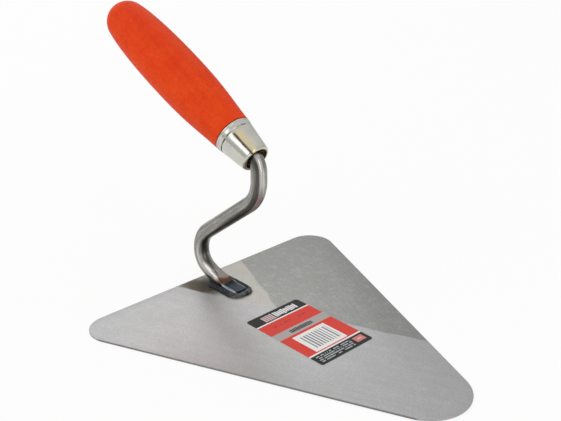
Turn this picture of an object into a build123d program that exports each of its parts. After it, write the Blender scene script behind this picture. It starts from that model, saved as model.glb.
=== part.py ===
from build123d import *

# Brick trowel: a triangular sheet-steel blade, a bent rod neck welded to it, a ferrule and a turned handle.
#
# Frame, in millimetres: +X runs along the blade to its tip, +Y to the left, +Z up.
# The origin is on the blade's underside, halfway along the blade and on its centreline.

import os
from math import atan, cos, degrees, radians, sin, tan

# Blade: flat sheet, three straight edges and three rounded corners.
BLADE_LENGTH = 200.0
BLADE_WIDTH = 188.0
BLADE_THICKNESS = 1.2
HEEL_CORNER_RADIUS = 15.3
TIP_RADIUS = 25.2
BLADE_EDGE_BREAK = 0.2

# Neck: one round rod, bent in the plane y = 0, followed here from the blade up to the handle.
ROD_DIAMETER = 9.6
FOOT_ANGLE = 25.0  # slope at which the rod runs down to the blade
FOOT_CORNER_RISE = 9.6  # corner between that run and the low upright, above the blade's top
NECK_OVERHANG = 3.1  # low upright's centreline, behind the blade's rear edge
HEEL_BEND_RADIUS = 12.0
LOW_STRAIGHT = 0.4  # straight left between the heel bend and the knee bend
KNEE_BEND_RADIUS = 18.5
RUN_ANGLE = 37.7  # slope of the long run, above the blade
NECK_REACH = 53.3  # from the low upright forward to the high upright
SHOULDER_BEND_RADIUS = 22.0
HIGH_STRAIGHT = 4.7  # straight left between the shoulder bend and the top bend
TOP_BEND_RADIUS = 11.0

# Foot: the rod's end, forged flat on the blade. Its places are measured from the blade's rear edge.
FOOT_START = 12.0
FOOT_END = 34.6
FOOT_WIDTH = 10.4
FOOT_THICKNESS = 2.3
FOOT_CORNER_RADIUS = 3.0

# Weld: one bead along both sides of the foot and round its toe.
WELD_START = 13.0  # from the blade's rear edge
WELD_LEG = 3.6
WELD_HEIGHT = 2.0
WELD_CROWN_RADIUS = 1.7

# Handle: turned wood with a round butt. Its nose sits in the ferrule.
HANDLE_ANGLE = 26.3  # handle's axis, above the blade
HANDLE_LENGTH = 121.5  # from the ferrule's rim to the butt
SWELL_DIAMETER = 31.8
SWELL_FROM_BUTT = 60.0
FRONT_DIAMETER = 29.4  # where the handle starts to narrow towards the ferrule
FRONT_FROM_RIM = 26.7
REAR_DIAMETER = 29.4  # where the handle starts to narrow towards the butt
REAR_FROM_BUTT = 25.6
BUTT_RADIUS = 13.0
BUTT_SLOPE = 0.2  # growth in radius per unit of length where the round butt ends
RIM_SLOPE = 0.07  # loss in radius per unit of length at the ferrule's rim

# Ferrule: a drawn cone with a groove near its rim and a rounded mouth for the rod.
FERRULE_LENGTH = 21.6
FERRULE_WALL = 0.8
RIM_DIAMETER = 24.1
COLLAR_LENGTH = 3.4
GROOVE_WIDTH = 1.0
GROOVE_DEPTH = 0.4
MOUTH_END_DIAMETER = 17.8
MOUTH_ROUNDING = 1.6
MOUTH_CLEARANCE = 4.8  # on the rod's diameter
MOUTH_SETBACK = 2.2  # from the mouth to the neck's top corner, along the handle's axis
NOSE_CLEARANCE = 2.0  # from the wood's nose to the start of the top bend

# Tang: the straight end of the rod, driven into the handle, with two pinched ears.
TANG_DEPTH = 75.0  # past the ferrule's rim
TANG_CHAMFER = 1.5
BORE_RUNOUT = 3.0  # free depth past the tang's end
EAR_FROM_END = 14.0
EAR_LENGTH = 12.0
EAR_PROUD = 1.5
EAR_THICKNESS = 2.2
EAR_CHAMFER = 1.2

# Label: a paper sticker on the blade, lengthwise.
LABEL_LENGTH = 61.5
LABEL_WIDTH = 41.0
LABEL_THICKNESS = 0.12
LABEL_CORNER_RADIUS = 2.0
LABEL_FROM_REAR = 62.0
LABEL_SIDE_SHIFT = -1.0

# Places that follow from the sizes above.
REAR_X = -BLADE_LENGTH / 2
ROD_RADIUS = ROD_DIAMETER / 2
LOW_X = REAR_X - NECK_OVERHANG
HIGH_X = LOW_X + NECK_REACH
HEEL_TANGENT = HEEL_BEND_RADIUS * tan(radians(90 - FOOT_ANGLE) / 2)
KNEE_TANGENT = KNEE_BEND_RADIUS * tan(radians(90 - RUN_ANGLE) / 2)
SHOULDER_TANGENT = SHOULDER_BEND_RADIUS * tan(radians(90 - RUN_ANGLE) / 2)
TOP_TANGENT = TOP_BEND_RADIUS * tan(radians(90 - HANDLE_ANGLE) / 2)
FOOT_CORNER_Z = BLADE_THICKNESS + FOOT_CORNER_RISE
KNEE_Z = FOOT_CORNER_Z + HEEL_TANGENT + LOW_STRAIGHT + KNEE_TANGENT
SHOULDER_Z = KNEE_Z + NECK_REACH * tan(radians(RUN_ANGLE))
TOP_Z = SHOULDER_Z + SHOULDER_TANGENT + HIGH_STRAIGHT + TOP_TANGENT
RIM_SETBACK = MOUTH_SETBACK + FERRULE_LENGTH
NOSE_LENGTH = RIM_SETBACK - TOP_TANGENT - NOSE_CLEARANCE


def handle_frame(setback):
    """Plane across the handle's axis, this far behind the neck's top corner, with +Z towards the mouth."""
    slope = radians(HANDLE_ANGLE)
    towards_mouth = Vector(cos(slope), 0, -sin(slope))
    top_corner = Vector(HIGH_X, 0, TOP_Z)
    return Plane(origin=top_corner - towards_mouth * setback, x_dir=(0, 1, 0), z_dir=towards_mouth)


def revolved(*outline):
    """Solid of revolution about +Z, from the curves of an outline drawn as (radius, height)."""
    return revolve(Plane.XZ * make_face(Curve() + list(outline)), Axis.Z)


def make_blade():
    """Sheet whose outline is pulled tight round three corner discs."""
    heel_y = BLADE_WIDTH / 2 - HEEL_CORNER_RADIUS
    heel_x = REAR_X + HEEL_CORNER_RADIUS
    with BuildSketch() as outline:
        with Locations((heel_x, heel_y), (heel_x, -heel_y)):
            Circle(HEEL_CORNER_RADIUS)
        with Locations((-REAR_X - TIP_RADIUS, 0)):
            Circle(TIP_RADIUS)
        make_hull()
    sheet = extrude(outline.sketch, BLADE_THICKNESS)
    faces = sheet.faces().sort_by(Axis.Z)
    return chamfer(faces[0].edges() + faces[-1].edges(), BLADE_EDGE_BREAK)


def neck_centreline():
    """Rod's centreline, from the tang's end in the handle down to the end of the foot."""
    tang_start = handle_frame(RIM_SETBACK + TANG_DEPTH).origin
    foot_end_x = REAR_X + FOOT_END - FOOT_CORNER_RADIUS
    foot_end_z = FOOT_CORNER_Z - (foot_end_x - LOW_X) * tan(radians(FOOT_ANGLE))
    corners = [
        tang_start,
        (HIGH_X, 0, TOP_Z),
        (HIGH_X, 0, SHOULDER_Z),
        (LOW_X, 0, KNEE_Z),
        (LOW_X, 0, FOOT_CORNER_Z),
        (foot_end_x, 0, foot_end_z),
    ]
    radii = [TOP_BEND_RADIUS, SHOULDER_BEND_RADIUS, KNEE_BEND_RADIUS, HEEL_BEND_RADIUS]
    return FilletPolyline(*corners, radius=radii)


def foot_outline(margin, start):
    """Footprint of the foot on the blade, grown all round by a margin and cut off square at its start."""
    length = FOOT_END - FOOT_START
    with BuildSketch(Plane.XY.offset(BLADE_THICKNESS)) as outline:
        with Locations((REAR_X + FOOT_START + length / 2, 0)):
            RectangleRounded(length + 2 * margin, FOOT_WIDTH + 2 * margin, FOOT_CORNER_RADIUS + margin)
        with Locations((REAR_X + start, 0)):
            Rectangle(length, 2 * FOOT_WIDTH + 2 * margin, align=(Align.MAX, Align.CENTER), mode=Mode.SUBTRACT)
    return outline.sketch


def tang_ears():
    """Flat fin through the tang, where its sides are pinched out to grip the wood."""
    fin = Box(ROD_DIAMETER + 2 * EAR_PROUD, EAR_THICKNESS, EAR_LENGTH)
    fin = chamfer(fin.edges().filter_by(Axis.Y), EAR_CHAMFER)
    return handle_frame(RIM_SETBACK + TANG_DEPTH - EAR_FROM_END - EAR_LENGTH / 2) * fin


def make_neck():
    """Bent rod with its tang, the tang's ears and its forged foot."""
    centreline = neck_centreline()
    section = Plane(origin=centreline @ 0, z_dir=centreline % 0) * Circle(ROD_RADIUS)
    rod = sweep(section, path=centreline)
    rod = chamfer(rod.edges().sort_by(Axis.X)[0], TANG_CHAMFER)
    below_blade_top = Box(
        BLADE_LENGTH,
        BLADE_WIDTH,
        BLADE_LENGTH,
        align=(Align.CENTER, Align.CENTER, Align.MAX),
    )
    rod -= Pos(REAR_X, 0, BLADE_THICKNESS) * below_blade_top
    pad = extrude(foot_outline(0, FOOT_START + FOOT_CORNER_RADIUS), FOOT_THICKNESS)
    return rod + pad + tang_ears()


def make_weld_bead(neck):
    """Crowned bead on the blade, along the sides and the toe of the foot."""
    bead = extrude(foot_outline(WELD_LEG, WELD_START), WELD_HEIGHT)
    crown = bead.faces().sort_by(Axis.Z)[-1].edges()
    return fillet(crown, WELD_CROWN_RADIUS) - neck


def cup(inset):
    """Ferrule's outer shape as a solid, shrunk by an inset, from its rim at 0 to its closed end."""
    rim = RIM_DIAMETER / 2 - inset
    mouth_end = MOUTH_END_DIAMETER / 2 - inset
    end = FERRULE_LENGTH - inset
    taper = (rim - mouth_end) / end
    groove = COLLAR_LENGTH + GROOVE_WIDTH / 2
    groove_end = COLLAR_LENGTH + GROOVE_WIDTH
    outline = Polyline(
        (0, 0),
        (rim, 0),
        (rim - taper * COLLAR_LENGTH, COLLAR_LENGTH),
        (rim - taper * groove - GROOVE_DEPTH, groove),
        (rim - taper * groove_end, groove_end),
        (mouth_end, end),
        (0, end),
        close=True,
    )
    solid = revolved(outline)
    return fillet(solid.edges().sort_by(Axis.Z)[-1], MOUTH_ROUNDING - inset)


def upright_cylinder(radius, height):
    """Cylinder standing on the plane z = 0."""
    return Cylinder(radius, height, align=(Align.CENTER, Align.CENTER, Align.MIN))


def make_ferrule():
    """Thin cup, open at its rim for the wood and at its mouth for the rod."""
    mouth = upright_cylinder((ROD_DIAMETER + MOUTH_CLEARANCE) / 2, 2 * FERRULE_LENGTH)
    return handle_frame(RIM_SETBACK) * (cup(0) - cup(FERRULE_WALL) - mouth)


def make_grip():
    """Turned part of the handle, from its round butt to the ferrule's rim at 0."""
    butt_end = -HANDLE_LENGTH
    slope_angle = atan(BUTT_SLOPE)
    rim = RIM_DIAMETER / 2
    flank_start = (BUTT_RADIUS * cos(slope_angle), butt_end + BUTT_RADIUS * (1 - sin(slope_angle)))
    butt = CenterArc((0, butt_end + BUTT_RADIUS), BUTT_RADIUS, -90, 90 - degrees(slope_angle))
    flank = Spline(
        flank_start,
        (REAR_DIAMETER / 2, butt_end + REAR_FROM_BUTT),
        (SWELL_DIAMETER / 2, butt_end + SWELL_FROM_BUTT),
        (FRONT_DIAMETER / 2, -FRONT_FROM_RIM),
        (rim, 0),
        tangents=[(BUTT_SLOPE, 1), (-RIM_SLOPE, 1)],
    )
    core = Polyline((rim, 0), (0, 0), (0, butt_end))
    return revolved(butt, flank, core)


def make_handle():
    """Grip and nose in one piece of wood, bored for the tang."""
    nose = cup(FERRULE_WALL) & upright_cylinder(RIM_DIAMETER, NOSE_LENGTH)
    bore_depth = TANG_DEPTH + BORE_RUNOUT
    bore = Pos(0, 0, -bore_depth) * upright_cylinder(ROD_RADIUS, bore_depth + FERRULE_LENGTH)
    return handle_frame(RIM_SETBACK) * (make_grip() + nose - bore) - tang_ears()


def make_label():
    """Rounded rectangle of paper on the blade's top face."""
    centre_x = REAR_X + LABEL_FROM_REAR + LABEL_LENGTH / 2
    sheet = RectangleRounded(LABEL_LENGTH, LABEL_WIDTH, LABEL_CORNER_RADIUS)
    return extrude(Pos(centre_x, LABEL_SIDE_SHIFT, BLADE_THICKNESS) * sheet, LABEL_THICKNESS)


def main():
    """Write each piece of the trowel as its own STEP file."""
    neck = make_neck()
    pieces = {
        "blade": make_blade(),
        "neck": neck,
        "weld_bead": make_weld_bead(neck),
        "ferrule": make_ferrule(),
        "handle": make_handle(),
        "label": make_label(),
    }
    os.makedirs("parts", exist_ok=True)
    for name, piece in pieces.items():
        export_step(piece, f"parts/{name}.step")


main()
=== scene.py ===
import logging
import math
from dataclasses import dataclass
from enum import Enum
from functools import partial, reduce
from typing import Iterable, Sequence

import bmesh
import bpy
import numpy as np
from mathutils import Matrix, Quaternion, Vector


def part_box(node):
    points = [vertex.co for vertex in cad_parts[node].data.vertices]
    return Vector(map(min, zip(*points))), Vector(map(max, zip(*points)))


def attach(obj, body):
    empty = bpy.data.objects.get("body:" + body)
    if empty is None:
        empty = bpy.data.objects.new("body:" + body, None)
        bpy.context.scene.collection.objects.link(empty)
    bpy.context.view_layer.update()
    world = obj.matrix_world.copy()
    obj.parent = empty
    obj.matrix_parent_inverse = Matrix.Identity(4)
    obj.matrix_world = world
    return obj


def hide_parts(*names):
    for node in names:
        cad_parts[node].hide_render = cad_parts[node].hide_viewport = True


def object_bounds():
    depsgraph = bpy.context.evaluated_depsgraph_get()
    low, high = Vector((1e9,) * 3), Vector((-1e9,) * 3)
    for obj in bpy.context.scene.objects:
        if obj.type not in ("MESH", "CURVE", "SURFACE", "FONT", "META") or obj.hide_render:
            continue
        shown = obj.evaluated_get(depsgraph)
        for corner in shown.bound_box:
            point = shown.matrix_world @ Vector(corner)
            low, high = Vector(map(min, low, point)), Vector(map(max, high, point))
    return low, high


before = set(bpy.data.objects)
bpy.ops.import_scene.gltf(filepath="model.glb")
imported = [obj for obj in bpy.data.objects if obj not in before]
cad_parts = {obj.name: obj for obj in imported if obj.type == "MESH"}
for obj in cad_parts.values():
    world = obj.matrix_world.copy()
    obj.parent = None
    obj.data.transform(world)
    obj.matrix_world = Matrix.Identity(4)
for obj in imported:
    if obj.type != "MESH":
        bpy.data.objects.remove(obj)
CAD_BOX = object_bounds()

# A brick trowel's looks. Sizes are in millimetres, in the frame's axes: +X to the blade's tip, +Y to its
# left edge, +Z up, with the origin at the centre of the blade's underside. Meshes are made in metres.

MM = 0.001
BODY = "root"
ACROSS = Vector((0.0, 1.0, 0.0))
UP = Vector((0.0, 0.0, 1.0))
WHITE = (1.0, 1.0, 1.0)
NOISE_SPAN = (0.3, 0.7)  # holds most values of a noise
INK_FADE = 0.05  # half of the width over which a printed edge fades
LOG = logging.getLogger("trowel")

Pair = tuple[float, float]
Triple = tuple[float, float, float]
Colour = Triple
Ring = list[Vector]
Socket = bpy.types.NodeSocket
NodeTree = bpy.types.NodeTree
Material = bpy.types.Material
Object = bpy.types.Object


# ---------------------------------------------------------------- meshes


def box_mm(node: str) -> tuple[Vector, Vector]:
    """Lowest and highest corners of a CAD node, in millimetres."""
    low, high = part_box(node)
    return Vector(low) / MM, Vector(high) / MM


def put_in_scene(name: str, data: bpy.types.ID) -> Object:
    """Make an object of a mesh, lamp or camera and link it to the scene.

    Args:
        name: Name of the object.
        data: What the object shows.

    Returns:
        The new object, at the origin.
    """
    thing = bpy.data.objects.new(name, data)
    bpy.context.scene.collection.objects.link(thing)
    return thing


def mesh_object(name: str, points: Iterable[Vector], faces: Iterable[Sequence[int]]) -> Object:
    """Make a smooth-shaded mesh object whose place is in its mesh.

    Args:
        name: Name of the object and of its mesh.
        points: Vertices, in millimetres.
        faces: Vertex indices of each face.

    Returns:
        The new object, at the origin.
    """
    mesh = bpy.data.meshes.new(name)
    mesh.from_pydata([tuple(p * MM) for p in points], [], [tuple(f) for f in faces])
    mesh.validate()
    build = bmesh.new()
    build.from_mesh(mesh)
    bmesh.ops.recalc_face_normals(build, faces=build.faces)
    build.to_mesh(mesh)
    build.free()
    mesh.polygons.foreach_set("use_smooth", [True] * len(mesh.polygons))
    return put_in_scene(name, mesh)


def sharpen(piece: Object, degrees: float) -> None:
    """Mark edges sharp where faces meet at more than an angle, so that smooth shading stops there.

    Args:
        piece: Object whose mesh is marked.
        degrees: Smallest angle between faces that counts as sharp.
    """
    build = bmesh.new()
    build.from_mesh(piece.data)
    for edge in build.edges:
        edge.smooth = len(edge.link_faces) != 2 or edge.calc_face_angle(0.0) < math.radians(degrees)
    build.to_mesh(piece.data)
    build.free()


def quads(here: int, there: int, count: int) -> list[list[int]]:
    """Faces between two rings of points.

    Args:
        here: Index of the first ring's first point.
        there: Index of the second ring's first point.
        count: Points in each ring.

    Returns:
        Vertex indices of each face.
    """
    following = [(j + 1) % count for j in range(count)]
    return [[here + j, here + k, there + k, there + j] for j, k in enumerate(following)]


def skin_rings(rings: Sequence[Ring]) -> tuple[list[Vector], list[list[int]]]:
    """Join rings of equal length into one skin with a cap at both ends.

    Args:
        rings: Rings of points, in order along the piece.

    Returns:
        The points and the faces of the skin.
    """
    count = len(rings[0])
    points = [point for ring in rings for point in ring]
    last = len(points) - count
    faces = [face for start in range(0, last, count) for face in quads(start, start + count, count)]
    return points, [*faces, list(range(count)), list(range(last, len(points)))]


def superellipse(angle: float, half_width: float, half_height: float, power: float) -> Pair:
    """Point on a superellipse.

    Args:
        angle: Place round the curve, in radians.
        half_width: Reach along the first axis.
        half_height: Reach along the second axis.
        power: 2 gives an ellipse, and more gives squarer corners.

    Returns:
        The two coordinates.
    """
    c, s = math.cos(angle), math.sin(angle)
    return (
        half_width * math.copysign(abs(c) ** (2 / power), c),
        half_height * math.copysign(abs(s) ** (2 / power), s),
    )


def smoothstep(value: float, start: float, end: float) -> float:
    """Smooth rise from 0 at start to 1 at end."""
    t = min(1.0, max(0.0, (value - start) / (end - start)))
    return t * t * (3 - 2 * t)


def lerp(a: float, b: float, t: float) -> float:
    """Value that lies the share t of the way from a to b."""
    return a + (b - a) * t


# ---------------------------------------------------------------- node trees


class Graph:
    """Short ways to add nodes to a shader or geometry tree."""

    def __init__(self, tree: NodeTree) -> None:
        """Work on a tree."""
        self.tree = tree

    def put(self, socket: Socket, value: object) -> None:
        """Link a socket to another socket, or set its value.

        Args:
            socket: Input to fill.
            value: Output socket to link, or a plain value.
        """
        if isinstance(value, Socket):
            self.tree.links.new(value, socket)
        elif socket.type == "RGBA":
            socket.default_value = (*value, 1.0)
        else:
            socket.default_value = value

    def fill(self, node: bpy.types.Node, **inputs: object) -> bpy.types.Node:
        """Fill a node's inputs, by name with underscores for spaces, and give the node back."""
        for name, value in inputs.items():
            self.put(node.inputs[name.replace("_", " ")], value)
        return node

    def add(self, kind: str, *values: object, settings: dict[str, object] | None = None,
            **inputs: object) -> bpy.types.Node:
        """Add a node.

        Args:
            kind: The node's type name.
            *values: Values or sockets for its first inputs, in order.
            settings: Properties of the node, by name.
            **inputs: Values or sockets for other inputs, by name with underscores for spaces.

        Returns:
            The node.
        """
        node = self.tree.nodes.new(kind)
        for name, value in (settings or {}).items():
            setattr(node, name, value)
        for socket, value in zip(node.inputs, values):
            self.put(socket, value)
        return self.fill(node, **inputs)

    def math(self, operation: str, *values: object, clamp: bool = False) -> Socket:
        """Result of a math node on numbers and sockets."""
        settings = {"operation": operation, "use_clamp": clamp}
        return self.add("ShaderNodeMath", *values, settings=settings).outputs[0]

    def total(self, *values: object) -> Socket:
        """Sum of numbers and sockets."""
        return reduce(partial(self.math, "ADD"), values)

    def product(self, *values: object) -> Socket:
        """Product of numbers and sockets."""
        return reduce(partial(self.math, "MULTIPLY"), values)

    def vector(self, operation: str, *values: object, **inputs: object) -> Socket:
        """Result of a vector math node: a number for a dot product or a length, and else a vector."""
        node = self.add("ShaderNodeVectorMath", *values, settings={"operation": operation}, **inputs)
        return node.outputs["Value" if operation in ("DOT_PRODUCT", "LENGTH") else "Vector"]

    def spread(self, value: object, low: object, high: object, to_low: object = 0.0, to_high: object = 1.0,
               smooth: bool = False) -> Socket:
        """Map a range of values to another range, held at its ends.

        Args:
            value: Number or socket.
            low: Value that gives to_low.
            high: Value that gives to_high.
            to_low: Result at low.
            to_high: Result at high.
            smooth: Whether the rise is smooth instead of straight.

        Returns:
            The result's socket.
        """
        settings = {"interpolation_type": "SMOOTHSTEP" if smooth else "LINEAR"}
        node = self.add("ShaderNodeMapRange", value, low, high, to_low, to_high, settings=settings)
        return node.outputs[0]

    def blend(self, share: object, a: object, b: object) -> Socket:
        """Mix two colours.

        Args:
            share: How much of b shows.
            a: Colour or socket.
            b: Colour or socket.

        Returns:
            The mixed colour's socket.
        """
        node = self.add("ShaderNodeMix", share, settings={"data_type": "RGBA"})
        colour_a, colour_b, colour_result = 6, 7, 2  # the node also has these sockets for other types
        self.put(node.inputs[colour_a], a)
        self.put(node.inputs[colour_b], b)
        return node.outputs[colour_result]

    def noise(self, vector: Socket, scale: object, detail: float, roughness: float = 0.55) -> Socket:
        """Noise between about 0.25 and 0.75.

        Args:
            vector: Coordinates, in millimetres.
            scale: Cells in a millimetre.
            detail: Octaves.
            roughness: Strength of the finer octaves.

        Returns:
            The noise value's socket.
        """
        return self.add("ShaderNodeTexNoise", Vector=vector, Scale=scale, Detail=detail,
                        Roughness=roughness).outputs[0]

    def axes(self, vector: Socket) -> tuple[Socket, ...]:
        """Split a vector into its three numbers."""
        return tuple(self.add("ShaderNodeSeparateXYZ", vector).outputs)

    def join(self, x: object, y: object, z: object = 0.0) -> Socket:
        """Make a vector of three numbers."""
        return self.add("ShaderNodeCombineXYZ", x, y, z).outputs[0]


def open_group(name: str, vectors: Sequence[str],
               numbers: dict[str, float]) -> tuple[Graph, Sequence[Socket]]:
    """Start a shader node group that several finishes share.

    Args:
        name: Name of the group.
        vectors: Names of the vector inputs.
        numbers: Default of each number input, by name.

    Returns:
        A graph on the group's tree, and the group's inputs.
    """
    tree = bpy.data.node_groups.new(name, "ShaderNodeTree")
    for vector in vectors:
        tree.interface.new_socket(vector, in_out="INPUT", socket_type="NodeSocketVector")
    for number, default in numbers.items():
        socket = tree.interface.new_socket(number, in_out="INPUT", socket_type="NodeSocketFloat")
        socket.default_value = default
    graph = Graph(tree)
    return graph, graph.add("NodeGroupInput").outputs


def close_group(graph: Graph, **results: Socket) -> NodeTree:
    """Give a group its number outputs.

    Args:
        graph: Graph on the group's tree.
        **results: What each output gives, by name.

    Returns:
        The group.
    """
    for name in results:
        graph.tree.interface.new_socket(name, in_out="OUTPUT", socket_type="NodeSocketFloat")
    graph.add("NodeGroupOutput", **results)
    return graph.tree


def make_streaks() -> NodeTree:
    """Group for grinding, drawing or turning lines, which run along one direction.

    Returns:
        The group, with the outputs Lines and Patches.
    """
    graph, given = open_group("directional_streaks", ("Vector", "Stretch"), {"Angle": 0.0})
    turned = graph.add("ShaderNodeVectorRotate", settings={"rotation_type": "Z_AXIS"},
                       Vector=given["Vector"], Angle=given["Angle"])
    fine = graph.vector("MULTIPLY", turned.outputs[0], given["Stretch"])
    wide = graph.vector("SCALE", fine, Scale=0.24)
    return close_group(graph, Lines=graph.noise(fine, 1.0, 5.0, 0.65),
                       Patches=graph.noise(wide, 1.0, 3.0, 0.5))


def make_mottle() -> NodeTree:
    """Group for soft uneven patches with fine speckle in them, as oil film, haze and handling leave.

    Returns:
        The group, with the outputs Patches and Speckle.
    """
    graph, given = open_group("soft_mottle", ("Vector",), {"Patch": 12.0, "Grain": 1.0})
    wide = graph.noise(given["Vector"], graph.math("DIVIDE", 1.0, given["Patch"]), 2.0, 0.5)
    fine = graph.noise(given["Vector"], graph.math("DIVIDE", 1.0, given["Grain"]), 4.0, 0.6)
    return close_group(graph, Patches=graph.spread(wide, *NOISE_SPAN),
                       Speckle=graph.spread(fine, *NOISE_SPAN))


STREAKS = make_streaks()
MOTTLE = make_mottle()


@dataclass(frozen=True)
class Coat:
    """Tint over the colours below it, whose share grows as a pattern's value goes from start to end."""

    pattern: str
    tint: Colour
    share: float = 1.0
    start: float = 0.0
    end: float = 1.0


class Surface(Graph):
    """A material with one Principled shader, and the nodes that drive it."""

    def __init__(self, name: str, **uniform: object) -> None:
        """Start a material.

        Args:
            name: Name of the material.
            **uniform: Values that are the same all over, by socket name with underscores for spaces.
        """
        self.material = bpy.data.materials.new(name)
        self.material.use_nodes = True
        super().__init__(self.material.node_tree)
        self.shader = self.fill(self.tree.nodes["Principled BSDF"], **uniform)

    def place(self) -> Socket:
        """Coordinates on the object, in millimetres."""
        return self.vector("SCALE", self.add("ShaderNodeTexCoord").outputs["Object"], Scale=1 / MM)

    def section(self) -> Socket:
        """Place along and across a long piece, in millimetres, which its mesh stores."""
        return self.add("ShaderNodeAttribute", settings={"attribute_name": "section"}).outputs["Vector"]

    def streaks(self, vector: Socket, stretch: Triple, angle: float = 0.0) -> Sequence[Socket]:
        """Lines and patches that run along one direction, at this many cells in a millimetre."""
        return self.add("ShaderNodeGroup", settings={"node_tree": STREAKS}, Vector=vector, Stretch=stretch,
                        Angle=angle).outputs

    def mottle(self, vector: Socket, patch: float, grain: float) -> Sequence[Socket]:
        """Soft patches and fine speckle, with cells of this many millimetres."""
        return self.add("ShaderNodeGroup", settings={"node_tree": MOTTLE}, Vector=vector, Patch=patch,
                        Grain=grain).outputs

    def chance(self, dimensions: str, **inputs: Socket) -> Socket:
        """White noise of a cell, between 0 and 1."""
        settings = {"noise_dimensions": dimensions}
        return self.add("ShaderNodeTexWhiteNoise", settings=settings, **inputs).outputs[0]

    def lay(self, colour: object, coats: Sequence[Coat], **patterns: Socket) -> object:
        """Lay coats over a colour, in order.

        Args:
            colour: Colour below them.
            coats: Tints and where they show.
            **patterns: Pattern sockets, by the names that the coats use.

        Returns:
            The resulting colour's socket.
        """
        for coat in coats:
            share = self.spread(patterns[coat.pattern], coat.start, coat.end, 0.0, coat.share)
            colour = self.blend(share, colour, coat.tint)
        return colour

    def finish(self, colour: object, roughness: object, height: object, depth: float) -> Material:
        """Drive the shader and close the material.

        Args:
            colour: Base colour's socket.
            roughness: Roughness socket.
            height: Height of the surface's relief, from 0 to 1.
            depth: Depth of that relief, in millimetres.

        Returns:
            The material.
        """
        bump = self.add("ShaderNodeBump", Height=height, Distance=depth * MM, Strength=1.0)
        self.fill(self.shader, Base_Color=colour, Roughness=roughness, Normal=bump.outputs[0])
        return self.material


# ---------------------------------------------------------------- finishes


@dataclass(frozen=True)
class SheetSteelFinish:
    """Blade: cold-rolled sheet, ground along both long edges, left as rolled round the foot, with painted
    light and shade.
    """

    # The two ground bands are the same steel: the right band is painted lighter and the left band painted
    # darker, for how the light falls on their grinding.
    ground_painted_light: Colour = (0.445, 0.443, 0.446)
    ground_painted_shade: Colour = (0.250, 0.254, 0.236)
    as_rolled: Colour = (0.45, 0.435, 0.385)
    sheen: Colour = (0.58, 0.58, 0.575)
    shade: Colour = (0.27, 0.27, 0.265)
    oil_warm: Colour = (0.40, 0.33, 0.35)
    oil_cool: Colour = (0.30, 0.37, 0.33)
    # Painted shade along the blade's edges.
    painted_edge_shade: Colour = (0.23, 0.23, 0.22)
    scorched: Colour = (0.052, 0.041, 0.023)
    roughness: Pair = (0.36, 0.50)
    metallic: float = 0.85
    grinding: Triple = (0.06, 0.95, 0.95)
    rolling: Triple = (0.03, 0.8, 0.8)
    film_cells: Pair = (14.0, 1.1)
    cloud_cells: Pair = (34.0, 4.0)
    relief: float = 0.02
    coats: tuple[Coat, ...] = (
        Coat("lines", sheen, 0.17, 0.44, 0.64),
        Coat("lines", shade, 0.13, 0.44, 0.30),
        Coat("patches", shade, 0.14, 0.38, 0.65),
        Coat("film", oil_warm, 0.18),
        Coat("cloud", oil_cool, 0.18),
        Coat("speckle", shade, 0.26, 0.42, 0.95),
        Coat("speckle", sheen, 0.18, 0.42, 0.05),
        Coat("blotches", sheen, 0.16, 0.5, 1.0),
        Coat("scorch", scorched),
        # Painted shade along the edges.
        Coat("edge", painted_edge_shade),
    )

    def material(self, blade: "Blade") -> Material:
        """Build the material for a blade.

        Args:
            blade: Blade whose edges the grinding follows.

        Returns:
            The material.
        """
        surface = Surface("blade_steel", Metallic=self.metallic, Anisotropic=0.2)
        place = surface.place()
        x, y, _ = surface.axes(place)
        film, speckle = surface.mottle(place, *self.film_cells)
        cloud, blotches = surface.mottle(place, *self.cloud_cells)
        lines, patches = surface.streaks(place, self.rolling)
        colour = self.as_rolled
        # The right band gets painted light and the left band gets painted shade.
        for side, tint in ((Side.LEFT, self.ground_painted_shade), (Side.RIGHT, self.ground_painted_light)):
            ground = blade.ground_mask(surface, x, y, side)
            ground_by = surface.streaks(place, self.grinding, side.value * blade.edge_angle())
            lines = surface.spread(ground, 0.0, 1.0, lines, ground_by["Lines"])
            patches = surface.spread(ground, 0.0, 1.0, patches, ground_by["Patches"])
            colour = surface.blend(ground, colour, tint)
        # edge is the mask of the painted edge shade.
        scorch, edge = blade.scorch_mask(surface, place, ground), blade.edge_shade_mask(surface, x, y)
        colour = surface.lay(colour, self.coats, lines=lines, patches=patches, film=film, speckle=speckle,
                             cloud=cloud, blotches=blotches, scorch=scorch, edge=edge)
        roughness = surface.total(surface.spread(lines, *NOISE_SPAN, *self.roughness),
                                  surface.spread(speckle, 0.0, 1.0, -0.04, 0.06))
        height = surface.product(surface.total(lines, speckle), 0.5)
        return surface.finish(colour, roughness, height, self.relief)


@dataclass(frozen=True)
class RodMark:
    """Painted reflection band along the rod, which turns round it on its way from the foot to the tang.

    Span is the two distances from the foot that the two turns belong to. A turn goes from the rod's right
    side towards its front. Facing is how nearly a point faces that way where the mark starts and is full.
    """

    span: Pair
    turns: Pair
    facing: Pair
    share: float

    def mask(self, surface: Surface, from_foot: Socket, sides: tuple[Socket, Socket], radius: float,
             ragged: Socket) -> Socket:
        """Mask of the mark.

        Args:
            surface: Material that gets the nodes.
            from_foot: Distance from the foot.
            sides: Distances to the left and to the front of the rod's middle.
            radius: The rod's radius.
            ragged: Unevenness of the mark's edge.

        Returns:
            The mask's socket.
        """
        turn = surface.spread(from_foot, *self.span, *map(math.radians, self.turns))
        right = surface.product(surface.math("COSINE", turn), sides[0], -1 / radius)
        front = surface.product(surface.math("SINE", turn), sides[1], 1 / radius)
        facing = surface.total(right, front, ragged)
        return surface.spread(facing, *self.facing, 0.0, self.share, smooth=True)


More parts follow.
